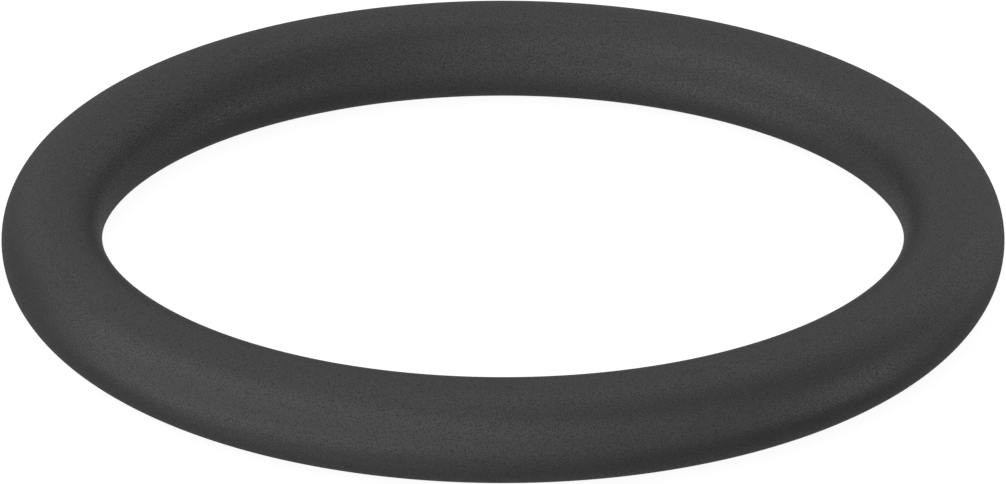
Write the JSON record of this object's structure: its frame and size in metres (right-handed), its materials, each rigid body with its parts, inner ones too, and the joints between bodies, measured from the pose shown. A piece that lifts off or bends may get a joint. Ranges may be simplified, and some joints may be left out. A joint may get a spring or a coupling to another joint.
{
  "type": "o-ring",
  "caption": "Round-section moulded rubber sealing ring that is squeezed in a groove between a shaft and a bore, or under a flat cover.",
  "frame": {"origin": "centre of the ring, halfway up its section, on the ring's axis", "axes": "+Z along the ring's axis; X and Y lie in the ring's middle plane, and the ring is the same in every direction around +Z"},
  "size_m": [0.0352, 0.0352, 0.0036],
  "materials": {
    "black_nitrile_rubber": "matte"
  },
  "bodies": {
    "root": {"o_ring": "black_nitrile_rubber"}
  },
  "joints": []
}
